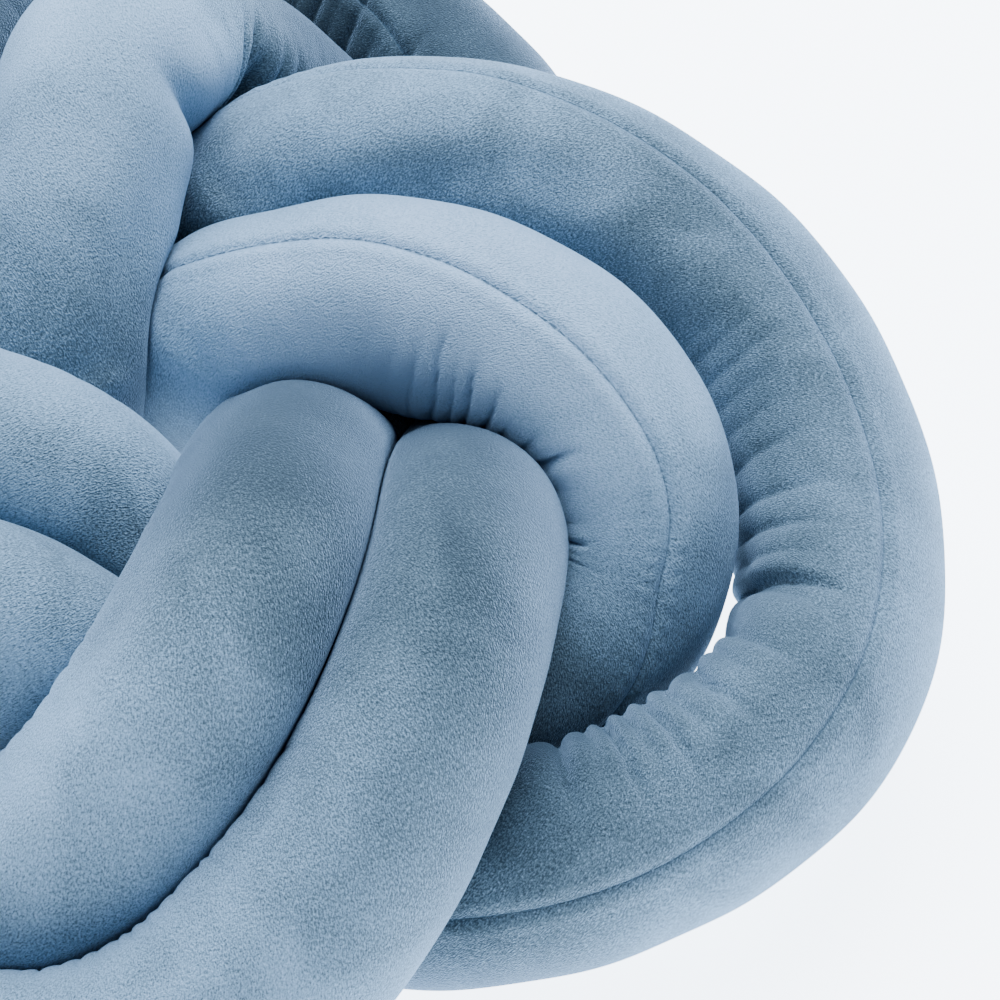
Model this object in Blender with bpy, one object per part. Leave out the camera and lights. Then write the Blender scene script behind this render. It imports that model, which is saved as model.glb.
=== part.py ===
"""Knot cushion: four closed, stuffed velvet tubes, woven in side-by-side pairs into a knot with four lobes.

The wide loop (two tubes) has its lobes at the left and right, the deep loop (two tubes) at the front and
back. The loops pass over and under each other by turns at four crossings around a small hole in the middle.
Each tube is one solid on a closed route. It is pressed flat where it meets its neighbours, its own other
leg and the floor, and gathered on the inside of its bends. The cushion lies on its back: +X to the right,
+Y to the back, +Z up, with the origin under its middle.
"""

from collections import namedtuple

import bmesh
import bpy
import numpy as np

MM = 0.001

# Driving sizes, in millimetres
TUBE_RADIUS = 32.0          # a stuffed tube, where nothing presses on it
CONTACT_GAP = 1.0           # between two tubes that press on each other
FLOOR_GIVE = 0.8            # how far the stuffing would sink below the floor
CONTACT_ROUNDING = 5.0      # width of the soft edge around a contact
OWN_LEG_REACH = 26.0        # along its route, a tube meets itself only beyond this
GATHER_DEPTH = 2.4          # of the valleys on the inside of a tight bend
GATHER_FROM = 0.16          # bend (tube radius over bend radius) at which the cloth starts to gather
GATHER_FULL = 0.42          # bend at which the valleys have their full depth
GATHER_CROWDING = 2.0       # how much closer the sections stand where the cloth is gathered
ROUTE_SAMPLES = 256         # points along a route that its neighbours are measured against
BARELY = 1e-6               # stands for zero where a length is divided by it
MERGE_WITHIN = 0.01         # joins the edges of the cloth

# Facets
TUBE_SIDES = 16
OUTER_SECTIONS = 116
INNER_SECTIONS = 88

# Finish
VELVET_BLUE = (0.262, 0.402, 0.532)     # linear red, green, blue
VELVET_ROUGHNESS = 0.85

Station = namedtuple("Station", "x y z")

# The closed routes of the tubes, by their centres, in millimetres. Each list is half a route, starts in the
# middle of a leg and runs clockwise, seen from above.
WIDE_OUTER = (
    Station(x=4, y=98, z=46),       # middle of the back leg, climbing to the right
    Station(x=44, y=91, z=76),
    Station(x=107, y=83, z=87),     # over the deep loop
    Station(x=169, y=50, z=70),     # shoulder of the right lobe
    Station(x=199, y=-9, z=48),     # tip of the lobe
    Station(x=186, y=-76, z=39),
    Station(x=126, y=-122, z=32),   # back under the deep loop
    Station(x=54, y=-125, z=28),
)
WIDE_INNER = (
    Station(x=7, y=45, z=44),       # middle of the back leg
    Station(x=26, y=35, z=67),
    Station(x=69, y=29, z=85),      # over the deep loop
    Station(x=118, y=4, z=81),
    Station(x=138, y=-29, z=48),    # tip of the lobe
    Station(x=111, y=-59, z=27),
    Station(x=64, y=-70, z=27),     # under the deep loop
    Station(x=18, y=-56, z=29),
)
DEEP_OUTER_BACK = (
    Station(x=-93, y=8, z=40),      # middle of the left leg, climbing to the back
    Station(x=-87, y=48, z=73),
    Station(x=-79, y=106, z=85),    # over the wide loop
    Station(x=-49, y=166, z=70),    # shoulder of the back lobe
    Station(x=3, y=204, z=51),      # tip of the lobe
    Station(x=66, y=189, z=38),
    Station(x=107, y=129, z=31),    # back under the wide loop
    Station(x=110, y=51, z=27),
)
DEEP_OUTER_FRONT = (
    Station(x=92, y=-10, z=38),     # middle of the right leg, climbing to the front
    Station(x=85, y=-49, z=72),
    Station(x=76, y=-106, z=85),    # over the wide loop
    Station(x=47, y=-167, z=63),    # shoulder of the front lobe
    Station(x=-6, y=-204, z=40),    # tip of the lobe
    Station(x=-71, y=-190, z=33),
    Station(x=-109, y=-129, z=30),  # back under the wide loop
    Station(x=-111, y=-51, z=27),
)
DEEP_INNER_BACK = (
    Station(x=-41, y=8, z=43),      # middle of the left leg
    Station(x=-36, y=30, z=68),
    Station(x=-28, y=80, z=95),     # over the wide loop
    Station(x=-13, y=126, z=90),
    Station(x=25, y=144, z=49),     # tip of the lobe, a tight hairpin
    Station(x=55, y=113, z=28),
    Station(x=61, y=57, z=27),      # under the wide loop
    Station(x=50, y=9, z=28),
)
DEEP_INNER_FRONT = (
    Station(x=43, y=-8, z=43),      # middle of the right leg
    Station(x=39, y=-30, z=68),
    Station(x=31, y=-80, z=94),     # over the wide loop
    Station(x=6, y=-132, z=79),
    Station(x=-32, y=-151, z=42),   # tip of the lobe
    Station(x=-59, y=-114, z=28),
    Station(x=-61, y=-57, z=27),    # under the wide loop
    Station(x=-49, y=-9, z=28),
)


def turned(half):
    """The same stations, turned by 180 degrees about the vertical through the middle."""
    return tuple(Station(-station.x, -station.y, station.z) for station in half)


TUBES = (
    ("wide_loop_outer", WIDE_OUTER + turned(WIDE_OUTER), OUTER_SECTIONS),
    ("wide_loop_inner", WIDE_INNER + turned(WIDE_INNER), INNER_SECTIONS),
    ("deep_loop_outer", DEEP_OUTER_BACK + DEEP_OUTER_FRONT, OUTER_SECTIONS),
    ("deep_loop_inner", DEEP_INNER_BACK + DEEP_INNER_FRONT, INNER_SECTIONS),
)


def smooth_route(stations, steps):
    """Points and their slopes at `steps` (in stations) on a smooth closed curve through the stations."""
    count = len(stations)
    after = np.roll(stations, -1, axis=0)
    before = np.roll(stations, 1, axis=0)
    ring = np.eye(count)
    system = 4.0 * ring + np.roll(ring, 1, axis=0) + np.roll(ring, -1, axis=0)
    slopes = np.linalg.solve(system, 3.0 * (after - before))
    index = np.floor(steps).astype(int) % count
    following = (index + 1) % count
    t = (steps - np.floor(steps))[:, None]
    start, end = stations[index], stations[following]
    start_slope, end_slope = slopes[index], slopes[following]
    points = (
        (2 * t**3 - 3 * t**2 + 1) * start
        + (t**3 - 2 * t**2 + t) * start_slope
        + (3 * t**2 - 2 * t**3) * end
        + (t**3 - t**2) * end_slope
    )
    directions = (
        (6 * t**2 - 6 * t) * start
        + (3 * t**2 - 4 * t + 1) * start_slope
        + (6 * t - 6 * t**2) * end
        + (3 * t**2 - 2 * t) * end_slope
    )
    return points, directions


def unit(vectors):
    """The same vectors at length 1."""
    return vectors / np.linalg.norm(vectors, axis=-1, keepdims=True)


class Route:
    """A closed route, measured: where it runs, how far along, and how tightly it bends."""

    def __init__(self, stations):
        self.stations = np.array(stations, dtype=float)
        self.steps = np.arange(ROUTE_SAMPLES) * len(self.stations) / ROUTE_SAMPLES
        self.points, slopes = smooth_route(self.stations, self.steps)
        tangents = unit(slopes)
        spans = np.linalg.norm(np.roll(self.points, -1, axis=0) - self.points, axis=1)
        self.arc = np.concatenate(((0.0,), np.cumsum(spans)))
        self.length = self.arc[-1]
        turn = np.roll(tangents, -1, axis=0) - np.roll(tangents, 1, axis=0)
        self.bend = turn / (spans + np.roll(spans, 1))[:, None] * TUBE_RADIUS
        tightness = np.linalg.norm(self.bend, axis=1)
        self.gather = np.clip((tightness - GATHER_FROM) / (GATHER_FULL - GATHER_FROM), 0.0, 1.0)

    def section_steps(self, count):
        """Steps of `count` sections, closer together where the cloth is gathered."""
        spans = np.diff(self.arc)
        share = np.cumsum(spans * (1.0 + GATHER_CROWDING * self.gather))
        share = np.concatenate(((0.0,), share)) / share[-1]
        steps = np.append(self.steps, len(self.stations))
        return np.interp(np.arange(count) / count, share, steps)

    def at(self, steps, values):
        """Values given per sample, read at other steps along the closed route."""
        return np.interp(steps, self.steps, values, period=len(self.stations))


def nearest_wall(centre, arc_here, directions, own, others):
    """How far each direction reaches from the centre before the midway plane to another tube's centre."""
    apart = np.abs(own.arc[:-1] - arc_here)
    apart = np.minimum(apart, own.length - apart)
    crowd = [own.points[apart > OWN_LEG_REACH]]
    crowd.extend(other.points for other in others)
    towards = np.vstack(crowd) - centre
    distance = np.linalg.norm(towards, axis=1)
    facing = np.maximum(directions @ towards.T, BARELY)
    walls = (0.5 * distance * (distance - CONTACT_GAP) / facing).min(axis=1)
    falling = np.maximum(-directions[:, 2], BARELY)
    return np.minimum(walls, (centre[2] + FLOOR_GIVE) / falling)


def soft_minimum(first, second, rounding):
    """The smaller of the two, a little less where they are within `rounding` of each other."""
    near = np.maximum(rounding - np.abs(first - second), 0.0)
    return np.minimum(first, second) - near**2 / (4.0 * rounding)


def tube_sections(own, others, count):
    """Points of a tube's skin: one ring of TUBE_SIDES points for each of its sections."""
    steps = own.section_steps(count)
    centres, slopes = smooth_route(own.stations, steps)
    along = unit(slopes)
    aside = unit(np.cross(along, (0.0, 0.0, 1.0)))
    above = np.cross(aside, along)
    angles = np.arange(TUBE_SIDES) * 2.0 * np.pi / TUBE_SIDES
    arcs = np.interp(steps, np.append(own.steps, len(own.stations)), own.arc)
    gather = own.at(steps, own.gather)
    bend = np.stack([own.at(steps, own.bend[:, axis]) for axis in range(3)], axis=1)
    inside = unit(bend)
    skin = []
    for index, centre in enumerate(centres):
        directions = np.outer(np.cos(angles), aside[index]) + np.outer(np.sin(angles), above[index])
        wall = nearest_wall(centre, arcs[index], directions, own, others)
        radius = soft_minimum(TUBE_RADIUS, wall, CONTACT_ROUNDING)
        facing_in = np.clip(directions @ inside[index], 0.0, 1.0)
        valley = index % 2
        radius -= GATHER_DEPTH * valley * gather[index] * facing_in
        points = centre + radius[:, None] * directions
        points[:, 2] = np.maximum(points[:, 2], 0.0)
        skin.append(points)
    return np.array(skin)


def velvet(name):
    """A dusty blue velvet."""
    material = bpy.data.materials.new(name)
    material.use_nodes = True
    shader = material.node_tree.nodes["Principled BSDF"]
    shader.inputs["Base Color"].default_value = (*VELVET_BLUE, 1.0)
    shader.inputs["Roughness"].default_value = VELVET_ROUGHNESS
    shader.inputs["Metallic"].default_value = 0.0
    return material


def tube_object(name, skin):
    """A closed tube: a grid of cloth wrapped round the sections and joined along and across."""
    sections, sides = skin.shape[:2]
    bm = bmesh.new()
    bmesh.ops.create_grid(bm, x_segments=sections, y_segments=sides, size=1.0)
    for vert in bm.verts:
        section = round((vert.co.x + 1.0) / 2.0 * sections) % sections
        side = round((vert.co.y + 1.0) / 2.0 * sides) % sides
        vert.co = skin[section, side] * MM
    bmesh.ops.remove_doubles(bm, verts=bm.verts, dist=MERGE_WITHIN * MM)
    bmesh.ops.recalc_face_normals(bm, faces=bm.faces)
    mesh = bpy.data.meshes.new(name)
    bm.to_mesh(mesh)
    bm.free()
    mesh.shade_smooth()
    mesh.materials.append(velvet(name + "_velvet"))
    tube = bpy.data.objects.new(name, mesh)
    bpy.context.collection.objects.link(tube)
    return tube


def build():
    for leftover in list(bpy.data.objects):
        bpy.data.objects.remove(leftover, do_unlink=True)
    routes = {name: Route(stations) for name, stations, _ in TUBES}
    for name, _, sections in TUBES:
        others = [route for other, route in routes.items() if other != name]
        tube_object(name, tube_sections(routes[name], others, sections))


build()
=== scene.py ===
"""The looks of the knot cushion: four closed velvet tubes, stuffed and woven in pairs into one knot."""

import math
from collections import namedtuple

import bmesh
import bpy
import numpy as np
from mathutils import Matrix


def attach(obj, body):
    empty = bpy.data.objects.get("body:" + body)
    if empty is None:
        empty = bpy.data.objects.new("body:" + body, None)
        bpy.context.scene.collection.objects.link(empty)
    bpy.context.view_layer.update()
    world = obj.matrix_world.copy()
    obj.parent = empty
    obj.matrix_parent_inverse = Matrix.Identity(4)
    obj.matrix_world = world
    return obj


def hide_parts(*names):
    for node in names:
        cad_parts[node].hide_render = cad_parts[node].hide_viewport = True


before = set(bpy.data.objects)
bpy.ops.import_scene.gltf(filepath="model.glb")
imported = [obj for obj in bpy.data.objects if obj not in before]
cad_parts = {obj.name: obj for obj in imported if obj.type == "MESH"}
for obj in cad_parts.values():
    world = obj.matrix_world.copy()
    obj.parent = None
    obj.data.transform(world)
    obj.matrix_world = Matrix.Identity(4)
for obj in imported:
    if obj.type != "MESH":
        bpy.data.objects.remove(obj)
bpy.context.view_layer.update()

# ---------------------------------------------------------------------------------------------------------
# The camera: a long lens close above the cushion, looking down at its right half from the front.

CAMERA_PLACE = (0.0423, -0.5755, 0.7391)
CAMERA_TURN = (39.084, -4.604, -0.194)      # degrees about X, Y and Z
LENS_MM = 108.76
SENSOR_MM = 36.0

camera_data = bpy.data.cameras.new("camera")
camera_data.lens = LENS_MM
camera_data.sensor_width = SENSOR_MM
camera = bpy.data.objects.new("camera", camera_data)
camera.location = CAMERA_PLACE
camera.rotation_euler = [math.radians(angle) for angle in CAMERA_TURN]
bpy.context.collection.objects.link(camera)
bpy.context.scene.camera = camera

# ---------------------------------------------------------------------------------------------------------
# The studio: a white table that runs on as far as the eye, a soft box overhead and an even white room.

FLOOR_SIZE = 12.0
FLOOR_DROP = 0.0004         # keeps the table just clear of the cushion's flat underside
TABLE_WHITE = "#FFFFFF"
LAMP_WHITE = "#E9F3FF"      # a cool daylight, from the soft box and from under the table
TABLE_GLOW = 6.1
SOFT_BOX_WATTS = 106.0
SOFT_BOX_SIZE = 1.6
SOFT_BOX_PLACE = (-0.1, 1.0, 1.4)
ROOM_WHITE = "#DFECFF"
ROOM_STRENGTH = 0.47


def linear(hex_colour):
    """An sRGB hex colour as linear red, green, blue and alpha."""
    channels = [int(hex_colour[place:place + 2], 16) / 255.0 for place in (1, 3, 5)]
    turned = [c / 12.92 if c <= 0.04045 else ((c + 0.055) / 1.055) ** 2.4 for c in channels]
    return (*turned, 1.0)


def add_node(tree, kind, links=(), **settings):
    """A node with its settings, and its inputs set to a value or linked from another node's output."""
    node = tree.nodes.new(kind)
    for name, value in settings.items():
        setattr(node, name, value)
    for socket, value in dict(links).items():
        if isinstance(value, bpy.types.NodeSocket):
            tree.links.new(value, node.inputs[socket])
        else:
            node.inputs[socket].default_value = value
    return node


def table_white():
    """White laminate, evenly lit from below as on a light table, so it stays pale round the cushion."""
    material = bpy.data.materials.new("white_laminate")
    material.use_nodes = True
    shader = material.node_tree.nodes["Principled BSDF"]
    shader.inputs["Base Color"].default_value = linear(TABLE_WHITE)
    shader.inputs["Roughness"].default_value = 0.9
    shader.inputs["Emission Color"].default_value = linear(LAMP_WHITE)
    shader.inputs["Emission Strength"].default_value = TABLE_GLOW
    return material


bm = bmesh.new()
bmesh.ops.create_grid(bm, x_segments=1, y_segments=1, size=FLOOR_SIZE / 2)
bmesh.ops.translate(bm, verts=bm.verts, vec=(0.0, 0.0, -FLOOR_DROP))
floor_mesh = bpy.data.meshes.new("floor")
bm.to_mesh(floor_mesh)
bm.free()
floor_mesh.materials.append(table_white())
floor = bpy.data.objects.new("floor", floor_mesh)
bpy.context.collection.objects.link(floor)

soft_box_data = bpy.data.lights.new("soft_box", "AREA")
soft_box_data.energy = SOFT_BOX_WATTS
soft_box_data.color = linear(LAMP_WHITE)[:3]
soft_box_data.size = SOFT_BOX_SIZE
soft_box = bpy.data.objects.new("soft_box", soft_box_data)
soft_box.location = SOFT_BOX_PLACE
reach = math.hypot(SOFT_BOX_PLACE[0], SOFT_BOX_PLACE[1])
soft_box.rotation_euler = (
    0.0,
    math.atan2(reach, SOFT_BOX_PLACE[2]),
    math.atan2(SOFT_BOX_PLACE[1], SOFT_BOX_PLACE[0]),
)
bpy.context.collection.objects.link(soft_box)

room = bpy.data.worlds.new("room")
room.use_nodes = True
room.node_tree.nodes["Background"].inputs["Color"].default_value = linear(ROOM_WHITE)
room.node_tree.nodes["Background"].inputs["Strength"].default_value = ROOM_STRENGTH
bpy.context.scene.world = room

# ---------------------------------------------------------------------------------------------------------
# The knot: how the four stuffed tubes run over and under each other. Each route is a tube's middle line in
# millimetres, a closed ring that runs clockwise seen from above, and the tubes press flat on each other.

MM = 0.001
TUBE_RADIUS = 32.0          # a stuffed tube, where nothing presses on it
GIRTH = 2.0 * math.pi * TUBE_RADIUS
CONTACT_GAP = 0.5           # between two tubes that press on each other
FLOOR_GIVE = 0.8            # how far the stuffing would sink below the table
CONTACT_ROUNDING = 2.6      # width of the soft edge around a contact
OWN_LEG_REACH = 26.0        # along its route, a tube meets itself only beyond this
NEIGHBOUR_REACH = 4.0 * TUBE_RADIUS     # no tube whose middle line is farther off presses on this one
ROUTE_SAMPLES = 256
BARELY = 1e-6               # in place of 0 where something is divided by it

# seam: where the sleeve's stitched seam lies round the tube, in degrees from the inside of the ring over
# its top. nap and painted light: how light the tube is painted there, for the pile's lie together with
# painted light and shade, between the darkest and lightest limits below. gather: how deep the cloth is
# gathered on the inside of the bend there, from 0, smooth, to 1.
Station = namedtuple("Station", "x y z seam nap gather")
NAP_AND_SHADE_DARKEST, NAP_AND_LIGHT_LIGHTEST = -0.5, 1.5         # from here down the tube is painted darkest, and from here up lightest, for the nap with its painted light and shade

# The seam, and the nap with its painted light and shade, of a half whose stations are those of the other
# half, turned.
Finish = namedtuple("Finish", "seam nap")

# The nap column paints light and shade along with the pile's lie: lower in hollows and under other tubes,
# higher on faces that the light reaches.
WIDE_OUTER = (
    Station(x=4, y=98, z=46, seam=118, nap=0.45, gather=0),         # middle of the back leg, on its way up
    Station(x=44, y=91, z=76, seam=113, nap=0.75, gather=0),
    Station(x=107, y=83, z=87, seam=100, nap=0.72, gather=0),       # over the deep loop
    Station(x=169, y=50, z=70, seam=91, nap=0.54, gather=0.15),     # shoulder of the right lobe
    Station(x=199, y=-9, z=48, seam=101, nap=0.62, gather=0.55),    # tip of the lobe
    Station(x=186, y=-76, z=39, seam=117, nap=0.5, gather=1),
    Station(x=126, y=-122, z=32, seam=141, nap=0.32, gather=0.9),   # back under the deep loop
    Station(x=54, y=-125, z=28, seam=160, nap=-0.2, gather=0.3),
)
WIDE_OUTER_LEFT = (
    Finish(seam=240, nap=0.6),
    Finish(seam=290, nap=0.75),
    Finish(seam=300, nap=0.75),
    Finish(seam=300, nap=0.6),
    Finish(seam=290, nap=0.5),
    Finish(seam=270, nap=0.5),
    Finish(seam=220, nap=0.4),
    Finish(seam=160, nap=0.4),
)
WIDE_INNER = (
    Station(x=7, y=45, z=44, seam=62, nap=-0.1, gather=0),          # middle of the back leg
    Station(x=26, y=35, z=67, seam=86, nap=0.95, gather=0.1),
    Station(x=69, y=29, z=85, seam=79, nap=1.45, gather=0.1),       # over the deep loop
    Station(x=118, y=4, z=81, seam=72, nap=1.25, gather=0.5),
    Station(x=138, y=-29, z=48, seam=108, nap=0.85, gather=0.4),    # tip of the lobe
    Station(x=111, y=-59, z=27, seam=175, nap=0.55, gather=0.5),
    Station(x=64, y=-70, z=27, seam=215, nap=0.2, gather=0.4),      # under the deep loop
    Station(x=18, y=-56, z=29, seam=240, nap=0.3, gather=0.1),
)
WIDE_INNER_LEFT = (
    Finish(seam=260, nap=0.6),
    Finish(seam=280, nap=0.9),
    Finish(seam=290, nap=0.95),
    Finish(seam=290, nap=0.8),
    Finish(seam=280, nap=0.5),
    Finish(seam=250, nap=0.3),
    Finish(seam=180, nap=0.3),
    Finish(seam=100, nap=-1.0),
)
DEEP_OUTER_BACK = (
    Station(x=-93, y=8, z=40, seam=285, nap=0.4, gather=0),         # middle of the left leg, on its way up
    Station(x=-87, y=48, z=73, seam=270, nap=0.3, gather=0),
    Station(x=-79, y=106, z=85, seam=220, nap=-0.45, gather=0.1),   # over the wide loop
    Station(x=-49, y=166, z=70, seam=140, nap=-0.35, gather=0.4),   # shoulder of the back lobe
    Station(x=3, y=204, z=51, seam=75, nap=-0.1, gather=0.9),       # tip of the lobe
    Station(x=66, y=189, z=38, seam=60, nap=-0.2, gather=0.7),
    Station(x=107, y=129, z=31, seam=20, nap=0.1, gather=0.6),      # back under the wide loop
    Station(x=110, y=51, z=27, seam=-40, nap=0.1, gather=0.2),
)
DEEP_OUTER_FRONT = (
    Station(x=92, y=-10, z=38, seam=-75, nap=-0.48, gather=0),      # middle of the right leg, on its way up
    Station(x=85, y=-49, z=72, seam=-75, nap=-0.15, gather=0),
    Station(x=76, y=-106, z=85, seam=-75, nap=0.25, gather=0.05),   # over the wide loop
    Station(x=47, y=-167, z=63, seam=-75, nap=0.8, gather=0.3),     # shoulder of the front lobe
    Station(x=-6, y=-204, z=40, seam=-75, nap=1, gather=0.6),       # tip of the lobe
    Station(x=-71, y=-190, z=33, seam=-75, nap=0.7, gather=0.8),
    Station(x=-109, y=-129, z=30, seam=-75, nap=0.6, gather=0.5),   # back under the wide loop
    Station(x=-111, y=-51, z=27, seam=-75, nap=0.5, gather=0.1),
)
DEEP_INNER_BACK = (
    Station(x=-41, y=8, z=43, seam=270, nap=0.15, gather=0),        # middle of the left leg
    Station(x=-36, y=30, z=68, seam=270, nap=0.55, gather=0),
    Station(x=-28, y=80, z=95, seam=270, nap=1.05, gather=0),       # over the wide loop
    Station(x=-13, y=126, z=90, seam=270, nap=0.9, gather=0.1),
    Station(x=25, y=144, z=49, seam=270, nap=-0.8, gather=0.5),     # tip of the lobe, a tight hairpin
    Station(x=55, y=113, z=28, seam=270, nap=0, gather=0.4),
    Station(x=61, y=57, z=27, seam=270, nap=0.2, gather=0.1),       # under the wide loop
    Station(x=50, y=9, z=28, seam=270, nap=0.1, gather=0),
)
DEEP_INNER_FRONT = (
    Station(x=43, y=-8, z=43, seam=270, nap=-0.3, gather=0),        # middle of the right leg
    Station(x=39, y=-30, z=68, seam=270, nap=-0.25, gather=0),
    Station(x=31, y=-80, z=94, seam=270, nap=0, gather=0),          # over the wide loop
    Station(x=6, y=-132, z=79, seam=270, nap=0.85, gather=0.3),
    Station(x=-32, y=-151, z=42, seam=270, nap=0.8, gather=0.9),    # tip of the lobe
    Station(x=-59, y=-114, z=28, seam=270, nap=0.7, gather=0.8),
    Station(x=-61, y=-57, z=27, seam=270, nap=0.5, gather=0.3),     # under the wide loop
    Station(x=-49, y=-9, z=28, seam=270, nap=0.3, gather=0),
)


def turned(half, left):
    """The same stations, turned by 180 degrees about the middle, with the left half's own seam, and its own
    nap with painted light and shade.
    """
    return tuple(
        station._replace(x=-station.x, y=-station.y, seam=finish.seam, nap=finish.nap)
        for station, finish in zip(half, left)
    )


def smooth_ring(values, steps):
    """Values and their slopes at `steps` (in stations) on a smooth closed curve through the stations."""
    count = len(values)
    after = np.roll(values, -1, axis=0)
    before = np.roll(values, 1, axis=0)
    ring = np.eye(count)
    system = 4.0 * ring + np.roll(ring, 1, axis=0) + np.roll(ring, -1, axis=0)
    slopes = np.linalg.solve(system, 3.0 * (after - before))
    index = np.floor(steps).astype(int) % count
    following = (index + 1) % count
    t = (steps - np.floor(steps))[:, None]
    start, end = values[index], values[following]
    start_slope, end_slope = slopes[index], slopes[following]
    points = (
        (2 * t**3 - 3 * t**2 + 1) * start
        + (t**3 - 2 * t**2 + t) * start_slope
        + (3 * t**2 - 2 * t**3) * end
        + (t**3 - t**2) * end_slope
    )
    directions = (
        (6 * t**2 - 6 * t) * start
        + (3 * t**2 - 4 * t + 1) * start_slope
        + (6 * t - 6 * t**2) * end
        + (3 * t**2 - 2 * t) * end_slope
    )
    return points, directions


def unit(vectors):
    """The same vectors at length 1."""
    return vectors / np.linalg.norm(vectors, axis=-1, keepdims=True)


class Route:
    """A tube's closed route, measured: where it runs, how far along, and how tightly it bends."""

    def __init__(self, stations):
        table = np.array(stations, dtype=float)
        self.stations = table[:, :3]
        self.finish = table[:, 3:]
        self.steps = np.arange(ROUTE_SAMPLES) * len(table) / ROUTE_SAMPLES
        self.points, slopes = smooth_ring(self.stations, self.steps)
        tangents = unit(slopes)
        spans = np.linalg.norm(np.roll(self.points, -1, axis=0) - self.points, axis=1)
        self.arc = np.concatenate(((0.0,), np.cumsum(spans)))
        self.length = self.arc[-1]
        turn = np.roll(tangents, -1, axis=0) - np.roll(tangents, 1, axis=0)
        self.bend = turn / (spans + np.roll(spans, 1))[:, None] * TUBE_RADIUS

    def at(self, steps, values):
        """Values given per sample, read at other steps along the closed route."""
        return np.interp(steps, self.steps, values, period=len(self.stations))

    def steps_along(self, count, crowding):
        """Steps of `count` rings of cloth, closer together where the tube bends tightly."""
        tightness = np.minimum(np.linalg.norm(self.bend, axis=1), 1.0)
        share = np.cumsum(np.diff(self.arc) * (1.0 + crowding * tightness))
        share = np.concatenate(((0.0,), share)) / share[-1]
        steps = np.append(self.steps, len(self.stations))
        return np.interp(np.arange(count) / count, share, steps)


ROUTES = {
    "wide_loop_outer": Route(WIDE_OUTER + turned(WIDE_OUTER, WIDE_OUTER_LEFT)),
    "wide_loop_inner": Route(WIDE_INNER + turned(WIDE_INNER, WIDE_INNER_LEFT)),
    "deep_loop_outer": Route(DEEP_OUTER_BACK + DEEP_OUTER_FRONT),
    "deep_loop_inner": Route(DEEP_INNER_BACK + DEEP_INNER_FRONT),
}

# ---------------------------------------------------------------------------------------------------------
# Wide loop, outer tube: a sleeve of short-pile polyester velvet, sewn along its length, stuffed with fibre
# and closed into a ring. It is pulled tight round its bends, so the cloth on their inside lies in gathers.

RING_CROWDING = 1.4         # how much closer the rings of cloth stand at a tight bend
OUTER_RINGS = 820
INNER_RINGS = 660
ROUND_THE_TUBE = 112
SEAM_CROWDING = 0.62        # how much closer the cloth's columns stand at the seam
MERGE_WITHIN = 0.01         # joins the cloth's edges

GATHER_PITCH = 7.8          # between two gathers on the inside of a bend
GATHER_DEPTH = 3.0
GATHER_MIDDLE = 5.0         # degrees round the tube, on the inside of the ring
GATHER_REACH = 80.0         # degrees that a gather runs round the tube to each side of its middle
GATHER_FADE = 1.6           # how soon it runs out at its end
GATHER_LOBE = 0.92          # how nearly each lobe between two gathers is a half circle
GATHER_STRAY = 0.28         # of a pitch that the gathers stray from an even row
DEPTH_LEAST, DEPTH_SPREAD = 0.45, 0.9           # how far their depths differ, as shares of GATHER_DEPTH
REACH_LEAST, REACH_SPREAD = 0.6, 0.7            # and their reaches, as shares of GATHER_REACH
GATHER_SLANT = 5.0          # millimetres that a gather leans along the tube on its way round
GATHER_WANDER = 1.3         # millimetres that a gather wavers

CREASE_FALL = 1.4           # how sharply a crease's sides bend over
CREASE_ENDS = 0.35          # of its depth that is left at its ends

SEAM_DEPTH = 0.9
SEAM_HALF_WIDTH = 1.3
SEAM_SWELL = 0.35           # how far the cloth beside the seam rises
SWELL_FROM_SEAM = 3.2       # where it rises most, and how wide, in half widths of the seam
SWELL_HALF_WIDTH = 1.6
PUCKER_PITCH = 5.2
PUCKER_DEPTH = 0.16
STITCH_PITCH = 2.6

FULLNESS = 0.4              # unevenness of the stuffing
FREE_AT_TOUCH = 0.7         # how free the cloth is to move where it just touches another tube
FREE_SPAN = 6.0             # millimetres of flattening between cloth that is free and cloth that is held

# How many waves make up an unevenness, and their longest and shortest length in millimetres.
Waves = namedtuple("Waves", "count longest shortest")
FULLNESS_WAVES = Waves(count=26, longest=120.0, shortest=26.0)
SLANT_WAVES = Waves(count=5, longest=160.0, shortest=60.0)
WANDER_WAVES = Waves(count=10, longest=90.0, shortest=30.0)

# The cloth simulation, in which the sleeve is blown up to its full girth on the bent route.
SETTLING_SCALE = 10.0       # it is simulated larger, because the solver suits things of some metres
SETTLING_PITCH = 2.7        # between two rings of cloth
SETTLING_CROWDING = 0.5
SETTLING_COLUMNS = 48
SETTLING_FROM = 30.0        # radius that it starts from
SETTLING_EASE = 0.45        # how much longer the sleeve is cut than its middle line where it bends tightly
SETTLING_STRAY = 0.3        # unevenness of the cloth at the start
SETTLING_PRESSURE = 4.0
SETTLING_MASS = 0.3
SETTLING_STRETCH = 15.0     # stiffness of the cloth, for each way that it gives
SETTLING_SHEAR = 5.0
SETTLING_BENDING = 0.05
SETTLING_FRAMES = 20
SETTLING_BLUR = 2           # rings to each side that take the finest wrinkles out
SETTLING_BLURS = 2          # how often that is done
SETTLING_LEAST, SETTLING_MOST = -1.8, 1.2       # how far a point may end up from the round tube
FIRST_WAVE_ROUND = 2        # the longest wave that is kept round the tube: 0 is its girth, and 1 moves it
LAST_WAVE_ROUND = 9         # the finest one
TAUT_SHARE = 0.2            # of the settling that is left on the outside of the ring, where cloth is taut

# A gather that shows, placed by its step along the route. Its middle lies at an angle round the tube, and it
# reaches as many degrees to each side of that. By the top of the tube it has leaned so many millimetres on.
Gather = namedtuple("Gather", "step depth middle reach lean", defaults=(0,))

# A single fold between two places on the tube, each a step along it and an angle round it.
Crease = namedtuple("Crease", "step angle to_step to_angle depth width")


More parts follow.
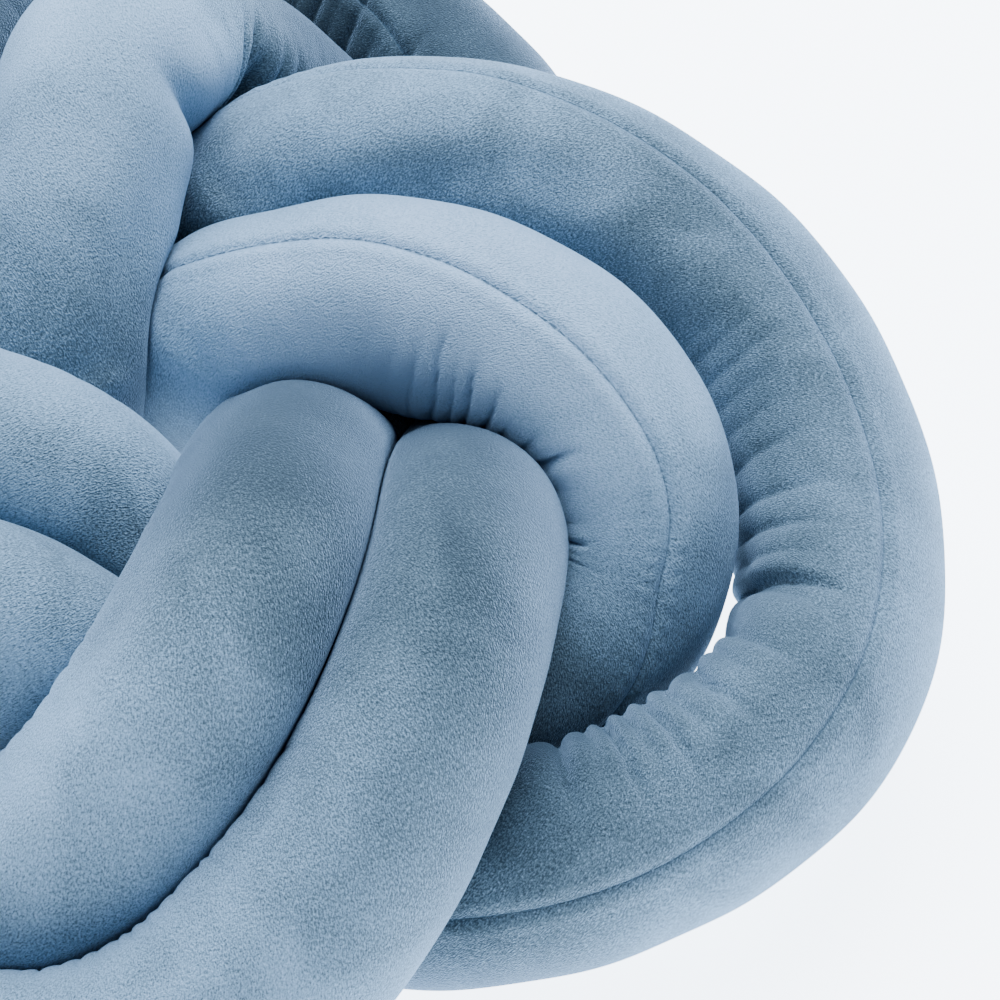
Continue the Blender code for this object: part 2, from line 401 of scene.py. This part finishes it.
def unevenness(seed, arc, around, length, waves):
    """A smooth closed pattern over a sleeve: waves of random length and slant, about 1 high."""
    random = np.random.default_rng(seed)
    total = np.zeros(np.broadcast(arc, around).shape)
    for _ in range(waves.count):
        size = waves.longest * (waves.shortest / waves.longest) ** random.random()
        slant = random.random() * 2.0 * math.pi
        turns_along = round(length / size * math.cos(slant))
        turns_round = round(GIRTH / size * math.sin(slant))
        start = random.random() * 2.0 * math.pi
        total += np.sin(2.0 * math.pi * (arc / length * turns_along + around * turns_round) + start)
    return total / math.sqrt(waves.count)


def nearest_wall(centre, arc_here, directions, own, others):
    """How far each direction reaches from the centre before the midway plane to another tube's centre."""
    apart = np.abs(own.arc[:-1] - arc_here)
    apart = np.minimum(apart, own.length - apart)
    crowd = [own.points[apart > OWN_LEG_REACH]]
    crowd.extend(other.points for other in others)
    towards = np.vstack(crowd) - centre
    distance = np.linalg.norm(towards, axis=1)
    near = distance < NEIGHBOUR_REACH
    towards, distance = towards[near], distance[near]
    facing = np.maximum(directions @ towards.T, BARELY)
    walls = (0.5 * distance * (distance - CONTACT_GAP) / facing).min(axis=1)
    falling = np.maximum(-directions[:, 2], BARELY)
    return np.minimum(walls, (centre[2] + FLOOR_GIVE) / falling)


def soft_minimum(first, second, rounding):
    """The smaller of the two, a little less where they are within `rounding` of each other."""
    near = np.maximum(rounding - np.abs(first - second), 0.0)
    return np.minimum(first, second) - near**2 / (4.0 * rounding)


def smooth_step(values):
    """0 below 0, 1 above 1, and an even curve between."""
    t = np.clip(values, 0.0, 1.0)
    return t * t * (3.0 - 2.0 * t)


def gather_rows(route, seed, placed):
    """Where the gathers lie along the tube, how deep and how far round: those placed, and others between."""
    random = np.random.default_rng(seed)
    steps = np.append(route.steps, len(route.stations))
    rows = [(np.interp(gather.step, steps, route.arc), *gather[1:]) for gather in placed]
    start = rows[-1][0] if rows else 0.0
    end = rows[0][0] + route.length if rows else route.length
    count = round((end - start) / GATHER_PITCH)
    for index in range(1, count if rows else count + 1):
        stray = GATHER_STRAY * (2.0 * random.random() - 1.0)
        arc = (start + (end - start) * (index + stray) / count) % route.length
        here = np.interp(arc, route.arc, steps)
        _, _, amount = smooth_ring(route.finish, np.array([here]))[0][0]
        depth = GATHER_DEPTH * max(amount, 0.0) * (DEPTH_LEAST + DEPTH_SPREAD * random.random())
        reach = GATHER_REACH * (REACH_LEAST + REACH_SPREAD * random.random())
        rows.append((arc, depth, GATHER_MIDDLE, reach, 0.0))
    return np.array(sorted(rows)).T


def gathers(route, seed, placed, arc, around, angle):
    """Depth of the gathers: valleys across the tube, with a round lobe of cloth between two of them."""
    arcs, depths, middles, reaches, leans = gather_rows(route, seed, placed)
    upwards = np.sin(angle)
    leaning = np.interp(arc, arcs, np.sin(np.radians(middles)), period=route.length)
    slant = -np.interp(arc, arcs, leans, period=route.length) * (upwards - leaning)
    slant += GATHER_SLANT * unevenness(seed + 1, arc, 0.0, route.length, SLANT_WAVES) * upwards
    wander = GATHER_WANDER * unevenness(seed + 2, arc, around, route.length, WANDER_WAVES)
    place = (arc + slant + wander - arcs[0]) % route.length
    phase = np.interp(place, np.append(arcs, arcs[0] + route.length) - arcs[0], np.arange(len(arcs) + 1))
    valley = np.rint(phase)
    off = 1.0 - 2.0 * np.abs(phase - valley)
    lobe = (1.0 - np.sqrt(1.0 - GATHER_LOBE * off**2)) / (1.0 - math.sqrt(1.0 - GATHER_LOBE))
    which = valley.astype(int) % len(arcs)
    off_middle = np.abs((angle - np.radians(middles[which]) + math.pi) % (2.0 * math.pi) - math.pi)
    fade = smooth_step(GATHER_FADE * (1.0 - off_middle / np.radians(reaches[which])))
    return depths[which] * lobe * fade


def crease_depth(route, creases, arc, angle):
    """Depth of the single creases, each a soft trough between two places."""
    total = np.zeros(np.broadcast(arc, angle).shape)
    steps = np.append(route.steps, len(route.stations))
    for crease in creases:
        ends = np.interp([crease.step, crease.to_step], steps, route.arc)
        along = (arc - ends[0] + route.length / 2) % route.length - route.length / 2
        across = (angle - math.radians(crease.angle) + math.pi) % (2 * math.pi) - math.pi
        run = np.array([ends[1] - ends[0], math.radians(crease.to_angle - crease.angle) * TUBE_RADIUS])
        size = np.linalg.norm(run)
        x = (along * run[0] + across * TUBE_RADIUS * run[1]) / size
        y = (across * TUBE_RADIUS * run[0] - along * run[1]) / size
        share = np.clip(x / size, 0.0, 1.0)
        past = x - share * size
        distance = np.hypot(y, past)
        lengthwise = CREASE_ENDS + (1.0 - CREASE_ENDS) * np.sin(math.pi * share)
        total += crease.depth * np.exp(-(distance / crease.width) ** CREASE_FALL) * lengthwise
    return total


def frames_along(route, steps):
    """The middle line at these steps, with the directions across it: aside, to the inside, and upwards."""
    centres, slopes = smooth_ring(route.stations, steps)
    along = unit(slopes)
    aside = unit(np.cross(along, (0.0, 0.0, 1.0)))
    return centres, aside, np.cross(aside, along)


def loose_sleeve(name, straight, bent):
    """An open tube of cloth, bent to the route, with its straight cut kept in a shape key."""
    rings, columns = straight.shape[:2]
    bm = bmesh.new()
    place_layer = bm.verts.layers.int.new("place")
    bmesh.ops.create_grid(bm, x_segments=rings - 1, y_segments=columns, size=1.0)
    for vert in bm.verts:
        ring = round((vert.co.x + 1.0) / 2.0 * (rings - 1))
        column = round((vert.co.y + 1.0) / 2.0 * columns) % columns
        vert.co = straight[ring, column] * MM * SETTLING_SCALE
        vert[place_layer] = ring * columns + column
    bmesh.ops.remove_doubles(bm, verts=bm.verts, dist=MERGE_WITHIN * MM)
    bmesh.ops.recalc_face_normals(bm, faces=bm.faces)
    for vert in bm.verts:
        vert.co = bent.reshape(-1, 3)[vert[place_layer]] * MM * SETTLING_SCALE
    mesh = bpy.data.meshes.new(name)
    bm.to_mesh(mesh)
    bm.free()
    tube = bpy.data.objects.new(name, mesh)
    bpy.context.collection.objects.link(tube)
    places = np.zeros(rings * columns, dtype=np.int32)
    mesh.attributes["place"].data.foreach_get("value", places)
    tube.shape_key_add(name="Basis")
    cut = tube.shape_key_add(name="cut")
    cut.data.foreach_set("co", (straight.reshape(-1, 3)[places] * MM * SETTLING_SCALE).ravel())
    cut.value = 0.0
    joined = tube.vertex_groups.new(name="joined")
    ends = (places < columns) | (places >= (rings - 1) * columns)
    joined.add(np.flatnonzero(ends).tolist(), 1.0, "REPLACE")
    return tube, places


def settled(name, seed):
    """How far the cloth ends up inside or outside the round tube when it is blown up: rows of rings."""
    own = ROUTES[name]
    others = [route for other, route in ROUTES.items() if other != name]
    rings = round(own.length / SETTLING_PITCH)
    steps = own.steps_along(rings, SETTLING_CROWDING)
    centres, aside, above = frames_along(own, steps)
    arc = np.interp(steps, np.append(own.steps, len(own.stations)), own.arc)
    angle = np.arange(SETTLING_COLUMNS) * 2.0 * math.pi / SETTLING_COLUMNS
    across = np.stack((np.cos(angle), np.sin(angle)), axis=1)
    directions = across[None, :, :1] * aside[:, None, :] + across[None, :, 1:] * above[:, None, :]
    wall = np.array([
        nearest_wall(centres[ring], arc[ring], directions[ring], own, others) for ring in range(rings)
    ])
    start = soft_minimum(SETTLING_FROM, wall - CONTACT_GAP, CONTACT_ROUNDING)
    stray = np.random.default_rng(seed).normal(0.0, SETTLING_STRAY, start.shape)
    stray[0] = 0.0
    points = centres[:, None, :] + (start + stray)[..., None] * directions

    tightness = np.minimum(np.linalg.norm(own.bend, axis=1), 1.0)
    spans = np.diff(np.append(arc, own.length)) * (1.0 + SETTLING_EASE * own.at(steps, tightness))
    straight = np.zeros((rings + 1, SETTLING_COLUMNS, 3))
    straight[..., 0] = np.concatenate(((0.0,), np.cumsum(spans)))[:, None]
    straight[..., 1:] = TUBE_RADIUS * across
    tube, places = loose_sleeve(name + "_settling", straight, np.concatenate((points, points[:1])))

    cloth = tube.modifiers.new("cloth", "CLOTH")
    cloth.settings.rest_shape_key = tube.data.shape_keys.key_blocks["cut"]
    cloth.settings.vertex_group_mass = "joined"
    cloth.settings.mass = SETTLING_MASS
    cloth.settings.tension_stiffness = SETTLING_STRETCH
    cloth.settings.compression_stiffness = SETTLING_STRETCH
    cloth.settings.shear_stiffness = SETTLING_SHEAR
    cloth.settings.bending_stiffness = SETTLING_BENDING
    cloth.settings.use_pressure = True
    cloth.settings.uniform_pressure_force = SETTLING_PRESSURE
    cloth.settings.effector_weights.gravity = 0.0
    cloth.point_cache.frame_start = 1
    cloth.point_cache.frame_end = SETTLING_FRAMES
    for frame_number in range(1, SETTLING_FRAMES + 1):
        bpy.context.scene.frame_set(frame_number)
    result = tube.evaluated_get(bpy.context.evaluated_depsgraph_get())
    blown = np.zeros(len(places) * 3)
    result.data.vertices.foreach_get("co", blown)
    skin = np.zeros((len(places), 3))
    skin[places] = blown.reshape(-1, 3) / (MM * SETTLING_SCALE)
    bpy.data.objects.remove(tube)
    bpy.context.scene.frame_set(1)

    skin = skin.reshape(rings + 1, SETTLING_COLUMNS, 3)[:-1]
    moved = ((skin - centres[:, None, :]) * directions).sum(axis=2) - start
    nearby = range(-SETTLING_BLUR, SETTLING_BLUR + 1)
    for _ in range(SETTLING_BLURS):
        moved = np.mean([np.roll(moved, ring, axis=0) for ring in nearby], axis=0)
    moved = moved - moved.mean()
    return np.append(arc, own.length), np.clip(moved, SETTLING_LEAST, SETTLING_MOST)


def settled_at(settling, arc, angle):
    """The settling read at other rings and angles, on a smooth curve both along the tube and round it."""
    arcs, moved = settling
    rings, columns = moved.shape
    place = np.interp(arc, arcs, np.arange(rings + 1)) % rings
    waves_round = np.fft.rfft(moved, axis=1) / columns
    real = smooth_ring(waves_round.real, place)[0]
    imaginary = smooth_ring(waves_round.imag, place)[0]
    total = np.zeros(angle.shape)
    for turn in range(FIRST_WAVE_ROUND, LAST_WAVE_ROUND + 1):
        total += 2.0 * real[:, turn:turn + 1] * np.cos(turn * angle)
        total -= 2.0 * imaginary[:, turn:turn + 1] * np.sin(turn * angle)
    return total


def sleeve(name, rings, seed, looseness, painted_side_light, placed, creases):
    """A tube's skin in millimetres: rings of points, each starting at the seam, and how light it is painted,
    for the nap and for painted light and shade.

    looseness: how much of the cloth's settling shows. painted side light: how much lighter the tube is
    painted on the outside of the ring than over its top, and darker on its inside, as painted light and
    shade. placed and creases: its own gathers and creases.
    """
    own = ROUTES[name]
    others = [route for other, route in ROUTES.items() if other != name]
    steps = own.steps_along(rings, RING_CROWDING)
    centres, aside, above = frames_along(own, steps)
    finish, _ = smooth_ring(own.finish, steps)
    seam_angle, nap, _ = finish.T
    arc = np.interp(steps, np.append(own.steps, len(own.stations)), own.arc)
    column = np.arange(ROUND_THE_TUBE) / ROUND_THE_TUBE
    share = column - SEAM_CROWDING * np.sin(2.0 * math.pi * column) / (2.0 * math.pi)
    angle = np.radians(seam_angle)[:, None] + 2.0 * math.pi * share[None, :]
    directions = np.cos(angle)[..., None] * aside[:, None, :] + np.sin(angle)[..., None] * above[:, None, :]

    wall = np.array([
        nearest_wall(centres[ring], arc[ring], directions[ring], own, others) for ring in range(rings)
    ])
    arcs = np.broadcast_to(arc[:, None], angle.shape)
    around = np.broadcast_to(share[None, :], angle.shape)
    free = np.clip((wall - TUBE_RADIUS) / FREE_SPAN + FREE_AT_TOUCH, 0.0, 1.0)
    radius = soft_minimum(TUBE_RADIUS, wall, CONTACT_ROUNDING)
    slack = TAUT_SHARE + (1.0 - TAUT_SHARE) * smooth_step(0.5 + 0.5 * np.cos(angle))
    radius = radius + looseness * free * slack * settled_at(settled(name, seed), arc, angle)
    radius = radius + FULLNESS * free * unevenness(seed, arcs, around, own.length, FULLNESS_WAVES)
    radius = radius - gathers(own, seed + 10, placed, arcs, around, angle)
    radius = radius - crease_depth(own, creases, arcs, angle)
    from_seam = np.minimum(share, 1.0 - share) * GIRTH
    groove = np.exp(-(from_seam / SEAM_HALF_WIDTH) ** 2)
    swell = np.exp(-((from_seam / SEAM_HALF_WIDTH - SWELL_FROM_SEAM) / SWELL_HALF_WIDTH) ** 2)
    pucker = np.cos(2.0 * math.pi * arcs / (own.length / round(own.length / PUCKER_PITCH)))
    radius = radius - SEAM_DEPTH * groove + (SEAM_SWELL + PUCKER_DEPTH * pucker) * swell * free
    radius = np.minimum(radius, wall)
    skin = centres[:, None, :] + radius[..., None] * directions
    skin[..., 2] = np.maximum(skin[..., 2], 0.0)
    # The painted tone: the nap with its painted light and shade, made lighter to one side of the tube and
    # darker to the other as painted light and shade.
    return skin, arc / own.length, share, nap[:, None] - painted_side_light * np.cos(angle)


def sleeve_mesh(name, skin, along, round_it, nap):
    """One rectangle of cloth, wrapped round the stuffing and joined edge to edge along and across."""
    rings, columns = skin.shape[:2]
    along = np.append(along, 1.0)
    round_it = np.append(round_it, 1.0)
    bm = bmesh.new()
    uv_layer = bm.loops.layers.uv.new("sleeve")
    nap_and_light_layer = bm.verts.layers.float.new("nap")
    bmesh.ops.create_grid(bm, x_segments=rings, y_segments=columns, size=1.0, calc_uvs=True)
    for face in bm.faces:
        for loop in face.loops:
            place = loop[uv_layer].uv
            place.x, place.y = along[round(place.x * rings)], round_it[round(place.y * columns)]
    for vert in bm.verts:
        ring = round((vert.co.x + 1.0) / 2.0 * rings) % rings
        column = round((vert.co.y + 1.0) / 2.0 * columns) % columns
        vert.co = skin[ring, column] * MM
        vert[nap_and_light_layer] = nap[ring, column]
    bmesh.ops.remove_doubles(bm, verts=bm.verts, dist=MERGE_WITHIN * MM)
    bmesh.ops.recalc_face_normals(bm, faces=bm.faces)
    mesh = bpy.data.meshes.new(name)
    bm.to_mesh(mesh)
    bm.free()
    mesh.shade_smooth()
    return mesh


TUFTS_PER_METRE = 2000.0    # of 0.5 mm
PILE_SLANT = 50.0           # degrees from the tube's length to the way that the pile is brushed
BRUSHED_TUFT = (1.0, 0.42)  # length and width in millimetres
RUFFLES_PER_METRE = 420.0   # of 2.4 mm
PATCHES_PER_METRE = 30.0    # of 33 mm
TUFT_CONTRAST = 0.6
PATCH_CONTRAST = 0.45
PILE_HEIGHT = 0.6           # in millimetres
RUFFLE_HEIGHT = 0.2         # of the pile's height, and so is the next
THREAD_DEPTH = 1.2
VELVET_BLUES = ("#24323C", "#354651", "#5B7282", "#84A6C2", "#A1C0DF")      # from brushed dark and painted shade to brushed light and painted light
SHEEN_BLUE = "#A3C4E8"

# Painted shade along the seam: a dark line where its groove lies in shade.
SEAM_SHADE_BLUE = "#415A6B"
SEAM_SHADE_OPACITY = 0.7
LINE_WANDER = 0.9           # how far the ruffled pile closes over the line of the seam, in millimetres
LINE_FULL, LINE_GONE = 0.45, 1.0        # where it is darkest and where it ends, with the wander added
THREAD_SHARE = (0.1, 0.5)   # of each stitch, where the line grows from weak to full
BETWEEN_STITCHES = 0.45     # how strong it is where it is weakest


def velvet(name, length):
    """Short-pile polyester velvet, dusty blue: a matt ground, a pale sheen where it turns away from the eye,
    a fine ruffled pile and patches where the pile lies the other way, with light and shade painted into its
    colour along and round each tube. The seam is lockstitched, with painted shade along it."""
    material = bpy.data.materials.new(name)
    material.use_nodes = True
    tree = material.node_tree
    shader = tree.nodes["Principled BSDF"]
    place = add_node(tree, "ShaderNodeTexCoord")
    uv = add_node(tree, "ShaderNodeUVMap", uv_map="sleeve")
    split = add_node(tree, "ShaderNodeSeparateXYZ", {"Vector": uv.outputs["UV"]})
    # The tube's painted tone from the mesh: the nap together with painted light and shade.
    nap = add_node(tree, "ShaderNodeAttribute", attribute_name="nap")

    # The pile: fibres of 0.02 mm, drawn as tufts of 0.5 to 1 mm so that they show, half of them brushed
    # slantwise along the sleeve.
    tufts = add_node(tree, "ShaderNodeTexNoise", {
        "Vector": place.outputs["Object"], "Scale": TUFTS_PER_METRE, "Detail": 1.0, "Roughness": 0.5,
    })
    cloth = add_node(tree, "ShaderNodeVectorMath", {0: uv.outputs["UV"], 1: (length, GIRTH, 1.0)},
                     operation="MULTIPLY")
    brushed = add_node(tree, "ShaderNodeMapping", {
        "Vector": cloth.outputs[0],
        "Rotation": (0.0, 0.0, math.radians(PILE_SLANT)),
        "Scale": (*BRUSHED_TUFT, 1.0),
    }, vector_type="TEXTURE")
    streaks = add_node(tree, "ShaderNodeTexNoise", {
        "Vector": brushed.outputs[0], "Scale": 1.0, "Detail": 1.0, "Roughness": 0.5,
    }, noise_dimensions="2D")
    pile = add_node(tree, "ShaderNodeMath", {0: tufts.outputs["Fac"], 1: streaks.outputs["Fac"]},
                    operation="ADD")
    ruffle = add_node(tree, "ShaderNodeTexNoise", {
        "Vector": place.outputs["Object"], "Scale": RUFFLES_PER_METRE,
        "Detail": 1.0, "Roughness": 0.5, "Distortion": 0.4,
    })
    patches = add_node(tree, "ShaderNodeTexNoise", {
        "Vector": place.outputs["Object"], "Scale": PATCHES_PER_METRE,
        "Detail": 3.0, "Roughness": 0.5, "Distortion": 0.8,
    })

    # How light the velvet is painted: the tube's own nap with its painted light and shade, the patches and
    # the tufts together.
    patch_part = add_node(tree, "ShaderNodeMath", {
        0: patches.outputs["Fac"], 1: PATCH_CONTRAST, 2: -0.5 * PATCH_CONTRAST,
    }, operation="MULTIPLY_ADD")
    pile_part = add_node(tree, "ShaderNodeMath", {0: pile.outputs[0], 1: TUFT_CONTRAST, 2: -TUFT_CONTRAST},
                         operation="MULTIPLY_ADD")
    nap_and_light_span = NAP_AND_LIGHT_LIGHTEST - NAP_AND_SHADE_DARKEST
    lie_and_painted_light = add_node(tree, "ShaderNodeMath", {
        0: nap.outputs["Fac"], 1: 1.0 / nap_and_light_span, 2: -NAP_AND_SHADE_DARKEST / nap_and_light_span,
    }, operation="MULTIPLY_ADD")
    lie_and_painted_light = add_node(tree, "ShaderNodeMath", {0: lie_and_painted_light.outputs[0], 1: patch_part.outputs[0]}, operation="ADD")
    lie_and_painted_light = add_node(tree, "ShaderNodeMath", {0: lie_and_painted_light.outputs[0], 1: pile_part.outputs[0]}, operation="ADD")
    ramp = add_node(tree, "ShaderNodeValToRGB", {"Fac": lie_and_painted_light.outputs[0]})
    ramp.color_ramp.elements[0].color = linear(VELVET_BLUES[0])
    ramp.color_ramp.elements[1].color = linear(VELVET_BLUES[-1])
    for index, blue in enumerate(VELVET_BLUES[1:-1], start=1):
        ramp.color_ramp.elements.new(index / (len(VELVET_BLUES) - 1)).color = linear(blue)

    # The lockstitched seam: a thin line of painted shade in its groove, weaker between two stitches.
    far_side = add_node(tree, "ShaderNodeMath", {0: 1.0, 1: split.outputs["Y"]}, operation="SUBTRACT")
    from_seam = add_node(tree, "ShaderNodeMath", {0: split.outputs["Y"], 1: far_side.outputs[0]},
                         operation="MINIMUM")
    from_seam = add_node(tree, "ShaderNodeMath", {
        0: ruffle.outputs["Fac"], 1: LINE_WANDER / GIRTH, 2: from_seam.outputs[0],
    }, operation="MULTIPLY_ADD")
    stitch = add_node(tree, "ShaderNodeMath", {0: split.outputs["X"], 1: length / STITCH_PITCH},
                      operation="MULTIPLY")
    stitch = add_node(tree, "ShaderNodeMath", {0: stitch.outputs[0]}, operation="FRACT")
    dash = add_node(tree, "ShaderNodeMapRange", {
        "Value": stitch.outputs[0], "From Min": THREAD_SHARE[0], "From Max": THREAD_SHARE[1],
        "To Min": BETWEEN_STITCHES, "To Max": 1.0,
    }, interpolation_type="SMOOTHSTEP")
    line = add_node(tree, "ShaderNodeMapRange", {
        "Value": from_seam.outputs[0], "From Min": LINE_FULL / GIRTH, "From Max": LINE_GONE / GIRTH,
        "To Min": SEAM_SHADE_OPACITY, "To Max": 0.0,
    }, interpolation_type="SMOOTHSTEP")
    seam = add_node(tree, "ShaderNodeMath", {0: line.outputs[0], 1: dash.outputs[0]}, operation="MULTIPLY")
    colour = add_node(tree, "ShaderNodeMix", data_type="RGBA")
    tree.links.new(seam.outputs[0], colour.inputs["Factor"])
    tree.links.new(ramp.outputs["Color"], colour.inputs["A"])
    colour.inputs["B"].default_value = linear(SEAM_SHADE_BLUE)
    tree.links.new(colour.outputs["Result"], shader.inputs["Base Color"])

    relief = add_node(tree, "ShaderNodeMath", {
        0: ruffle.outputs["Fac"], 1: RUFFLE_HEIGHT, 2: pile.outputs[0],
    }, operation="MULTIPLY_ADD")
    relief = add_node(tree, "ShaderNodeMath", {0: seam.outputs[0], 1: -THREAD_DEPTH, 2: relief.outputs[0]},
                      operation="MULTIPLY_ADD")
    bump = add_node(tree, "ShaderNodeBump", {
        "Strength": 0.8, "Distance": PILE_HEIGHT * MM, "Height": relief.outputs[0],
    })
    tree.links.new(bump.outputs["Normal"], shader.inputs["Normal"])
    shader.inputs["Roughness"].default_value = 0.88
    shader.inputs["IOR"].default_value = 1.46
    shader.inputs["Specular IOR Level"].default_value = 0.18
    shader.inputs["Sheen Weight"].default_value = 1.0
    shader.inputs["Sheen Roughness"].default_value = 0.42
    shader.inputs["Sheen Tint"].default_value = linear(SHEEN_BLUE)
    return material


def velvet_tube(node, rings, seed, looseness, painted_side_light, placed, creases):
    """One tube of the cushion, dressed: its sleeve in place of the node's plain solid."""
    skin, along, round_it, nap = sleeve(node, rings, seed, looseness, painted_side_light, placed, creases)
    mesh = sleeve_mesh(node + "_sleeve", skin, along, round_it, nap)
    mesh.materials.append(velvet(node + "_velvet", ROUTES[node].length))
    tube = bpy.data.objects.new(node + "_sleeve", mesh)
    bpy.context.collection.objects.link(tube)
    return tube


WIDE_OUTER_GATHERS = (
    Gather(step=3.12, depth=0.7, middle=20, reach=70),
    Gather(step=3.30, depth=0.9, middle=20, reach=74),
    Gather(step=3.47, depth=0.5, middle=10, reach=66),
    Gather(step=3.62, depth=0.6, middle=10, reach=66),
    Gather(step=3.80, depth=1.2, middle=10, reach=76),
    Gather(step=4.02, depth=1.5, middle=10, reach=80, lean=2),
    Gather(step=4.21, depth=1.9, middle=10, reach=82, lean=4),
    Gather(step=4.38, depth=1.1, middle=15, reach=70, lean=8),
    Gather(step=4.57, depth=4.6, middle=25, reach=80, lean=16),
    Gather(step=4.99, depth=3.6, middle=32, reach=70, lean=17),
    Gather(step=5.12, depth=1.8, middle=32, reach=56, lean=18),
    Gather(step=5.25, depth=4.2, middle=32, reach=76, lean=18),
    Gather(step=5.41, depth=3.8, middle=34, reach=70, lean=18),
    Gather(step=5.54, depth=5.0, middle=34, reach=84, lean=18),
    Gather(step=5.66, depth=3.6, middle=34, reach=80, lean=18),
    Gather(step=5.79, depth=5.0, middle=34, reach=88, lean=18),
    Gather(step=5.90, depth=2.2, middle=34, reach=66, lean=18),
    Gather(step=6.06, depth=4.4, middle=34, reach=84, lean=16),
    Gather(step=6.24, depth=2.2, middle=34, reach=70, lean=12),
)
WIDE_OUTER_CREASES = (
    Crease(step=4.57, angle=10, to_step=4.80, to_angle=84, depth=2.6, width=3.6),
    Crease(step=4.30, angle=15, to_step=5.25, to_angle=20, depth=3.0, width=12.0),
)

wide_outer = velvet_tube(
    "wide_loop_outer", OUTER_RINGS, seed=11, looseness=0.9, painted_side_light=0.2,
    placed=WIDE_OUTER_GATHERS, creases=WIDE_OUTER_CREASES,
)
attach(wide_outer, "root")
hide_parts("wide_loop_outer")

# ---------------------------------------------------------------------------------------------------------
# Wide loop, inner tube: the same sleeve, shorter, lying along the inside of the outer one.

WIDE_INNER_GATHERS = (
    Gather(step=2.25, depth=1.4, middle=0, reach=44),
    Gather(step=2.40, depth=2.6, middle=0, reach=50),
    Gather(step=2.52, depth=1.6, middle=-5, reach=40),
    Gather(step=2.62, depth=3.2, middle=-10, reach=52),
    Gather(step=2.78, depth=3.6, middle=-20, reach=56),
    Gather(step=2.90, depth=2.2, middle=-20, reach=44),
    Gather(step=3.06, depth=2.4, middle=-14, reach=46),
    Gather(step=3.20, depth=4.0, middle=-6, reach=56),
    Gather(step=3.36, depth=1.2, middle=4, reach=40),
    Gather(step=3.62, depth=0.8, middle=20, reach=34),
    Gather(step=3.88, depth=3.0, middle=40, reach=26),
    Gather(step=4.08, depth=0.3, middle=45, reach=30),
)

wide_inner = velvet_tube(
    "wide_loop_inner", INNER_RINGS, seed=23, looseness=0.35, painted_side_light=-0.2,
    placed=WIDE_INNER_GATHERS, creases=(),
)
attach(wide_inner, "root")
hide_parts("wide_loop_inner")

# ---------------------------------------------------------------------------------------------------------
# Deep loop, outer tube: the same sleeve again, from front to back.

DEEP_OUTER_GATHERS = (
    Gather(step=4.40, depth=1.6, middle=10, reach=66),
    Gather(step=4.60, depth=2.8, middle=10, reach=76),
    Gather(step=4.74, depth=1.0, middle=10, reach=58),
    Gather(step=4.90, depth=2.6, middle=10, reach=78),
    Gather(step=5.08, depth=1.2, middle=10, reach=62),
    Gather(step=5.28, depth=1.8, middle=10, reach=80),
)

deep_outer = velvet_tube(
    "deep_loop_outer", OUTER_RINGS, seed=37, looseness=0.9, painted_side_light=0.0,
    placed=DEEP_OUTER_GATHERS, creases=(),
)
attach(deep_outer, "root")
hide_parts("deep_loop_outer")

# ---------------------------------------------------------------------------------------------------------
# Deep loop, inner tube: it turns in a tight hairpin at the back, which folds the cloth there.

DEEP_INNER_GATHERS = (
    Gather(step=3.09, depth=4.6, middle=5, reach=62),
    Gather(step=3.22, depth=5.6, middle=5, reach=66),
    Gather(step=3.36, depth=1.6, middle=5, reach=48),
    Gather(step=3.52, depth=2.6, middle=10, reach=62),
    Gather(step=3.67, depth=2.4, middle=15, reach=62),
    Gather(step=3.85, depth=1.6, middle=5, reach=74),
)
DEEP_INNER_CREASES = (
    Crease(step=2.32, angle=-60, to_step=2.26, to_angle=44, depth=7.5, width=7.0),
    Crease(step=3.32, angle=44, to_step=3.34, to_angle=-8, depth=8.0, width=7.0),
)

deep_inner = velvet_tube(
    "deep_loop_inner", INNER_RINGS, seed=53, looseness=0.8, painted_side_light=0.0,
    placed=DEEP_INNER_GATHERS, creases=DEEP_INNER_CREASES,
)
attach(deep_inner, "root")
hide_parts("deep_loop_inner")
